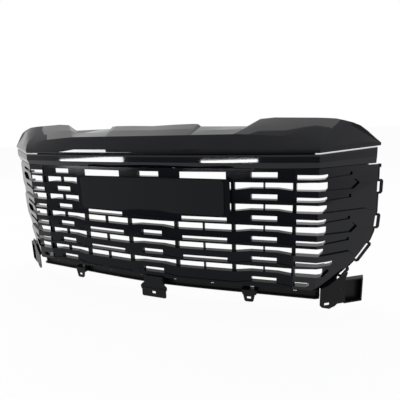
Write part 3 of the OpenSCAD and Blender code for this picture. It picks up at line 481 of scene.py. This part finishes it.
world = bpy.data.worlds.new("studio")
scene.world = world
world.use_nodes = True
world_tree = world.node_tree
studio = world_tree.nodes["Background"]
studio.inputs["Color"].default_value = (0.55, 0.56, 0.58, 1.0)
backdrop = world_tree.nodes.new("ShaderNodeBackground")
backdrop.inputs["Color"].default_value = (1.0, 1.0, 1.0, 1.0)
toward = world_tree.nodes.new("ShaderNodeTexCoord")
toward_parts = world_tree.nodes.new("ShaderNodeSeparateXYZ")
world_tree.links.new(toward.outputs["Generated"], toward_parts.inputs["Vector"])


def graded(axis, start, end):
    """A tone that changes along an axis, as the room in front of the grille darkens."""
    tone = world_tree.nodes.new("ShaderNodeMapRange")
    tone.inputs["From Min"].default_value = start
    tone.inputs["From Max"].default_value = end
    world_tree.links.new(toward_parts.outputs[axis], tone.inputs["Value"])
    return tone


front_tone = graded("Z", -0.15, 0.55)
front_tone.inputs["To Min"].default_value = 0.20
front_tone.inputs["To Max"].default_value = 0.80
side_tone = graded("Z", -0.34, -0.12)
side_tone.inputs["To Min"].default_value = 0.45
side_tone.inputs["To Max"].default_value = 1.0
all_round = graded("Y", -0.86, -0.30)
world_tree.links.new(front_tone.outputs["Result"], all_round.inputs["To Min"])
world_tree.links.new(side_tone.outputs["Result"], all_round.inputs["To Max"])
# Seen straight, the backdrop is white from every side
plain_seen = world_tree.nodes.new("ShaderNodeMath")
plain_seen.operation = "MAXIMUM"
seen_straight = world_tree.nodes.new("ShaderNodeLightPath")
world_tree.links.new(all_round.outputs["Result"], plain_seen.inputs[0])
world_tree.links.new(seen_straight.outputs["Is Camera Ray"], plain_seen.inputs[1])
world_tree.links.new(plain_seen.outputs["Value"], backdrop.inputs["Strength"])
world_mix = world_tree.nodes.new("ShaderNodeMixShader")
world_tree.links.new(seen_or_mirrored(world_tree), world_mix.inputs[0])
world_tree.links.new(studio.outputs["Background"], world_mix.inputs[1])
world_tree.links.new(backdrop.outputs["Background"], world_mix.inputs[2])
world_tree.links.new(world_mix.outputs["Shader"], world_tree.nodes["World Output"].inputs["Surface"])


def softbox(name, place, aim, width, height, power):
    """A rectangular lamp that looks at a place."""
    lamp = bpy.data.lights.new(name, "AREA")
    lamp.shape = "RECTANGLE"
    lamp.size = width
    lamp.size_y = height
    lamp.energy = power
    box = bpy.data.objects.new(name, lamp)
    scene.collection.objects.link(box)
    box.location = place
    box.rotation_euler = (Vector(aim) - Vector(place)).to_track_quat("-Z", "Y").to_euler()
    return box


# Straight down, but for a hair that keeps its long side along the grille
softbox("overhead softbox", place=(-0.55, 0.80, 1.50), aim=(-0.55, 0.801, 0.0),
        width=3.6, height=2.0, power=37.0)
softbox("left strip for the lip", place=(-1.215, -1.255, 0.055), aim=(-0.14, -0.056, -0.026),
        width=0.68, height=0.07, power=4.4)
softbox("left strip for the band", place=(-1.235, -1.215, -0.215), aim=(-0.15, -0.056, -0.048),
        width=0.60, height=0.05, power=3.4)
softbox("right strip for the band", place=(-0.053, -1.61, -0.240), aim=(0.205, -0.056, -0.042),
        width=0.49, height=0.018, power=1.5)
softbox("crease strip", place=(1.30, -1.20, -0.15), aim=(0.40, -0.038, -0.05),
        width=0.05, height=0.5, power=2.5)

# Where the finished pieces show in the photograph's frame.
# Every finished vertex is projected. For each feature place, in metres, the finished vertices
# within 12 mm of it are gathered, and each seam's vertices on the right are projected. Holes
# take the places that the CAD model gives them.
feature_places = {
    "moulding_left_tip": ("finished_upper_moulding", (-0.5216, 0.043, -0.019)),
    "moulding_right_tip": ("finished_upper_moulding", (0.5216, 0.043, -0.019)),
    "badge_top_left": ("finished_badge_bezel", (-0.197, -0.0685, -0.0915)),
    "badge_top_right": ("finished_badge_bezel", (0.197, -0.0685, -0.0915)),
    "badge_bottom_left": ("finished_badge_bezel", (-0.197, -0.0685, -0.1755)),
    "badge_bottom_right": ("finished_badge_bezel", (0.197, -0.0685, -0.1755)),
    "centre_foot_slot": ("finished_centre_bracket", (0.0, -0.067, -0.39475)),
    "right_tab_slot": ("finished_lower_rail", (0.2485, -0.0454, -0.3829)),
    "left_tab_slot": ("finished_lower_rail", (-0.2485, -0.0454, -0.3829)),
    "end_tab_slot": ("finished_corner_bracket_right", (0.426, -0.0204, -0.38475)),
    "corner_hole": ("finished_corner_bracket_right", (0.4565, 0.0, -0.353)),
}
pieces = [one for one in scene.objects
          if one.type == "MESH" and (one.name.startswith("finished_") or one in seams.values())]
shown_at = np.array([seen_at(place) for piece in pieces for place in finished_mesh(piece)[0]])
for name, (piece_name, place) in feature_places.items():
    near = [p for p in finished_mesh(bpy.data.objects[piece_name])[0]
            if (p - Vector(place)).length < 0.012]
for name, seam in seams.items():
    right = [seen_at(p) for p in finished_mesh(seam)[0] if p.x > 0.0]
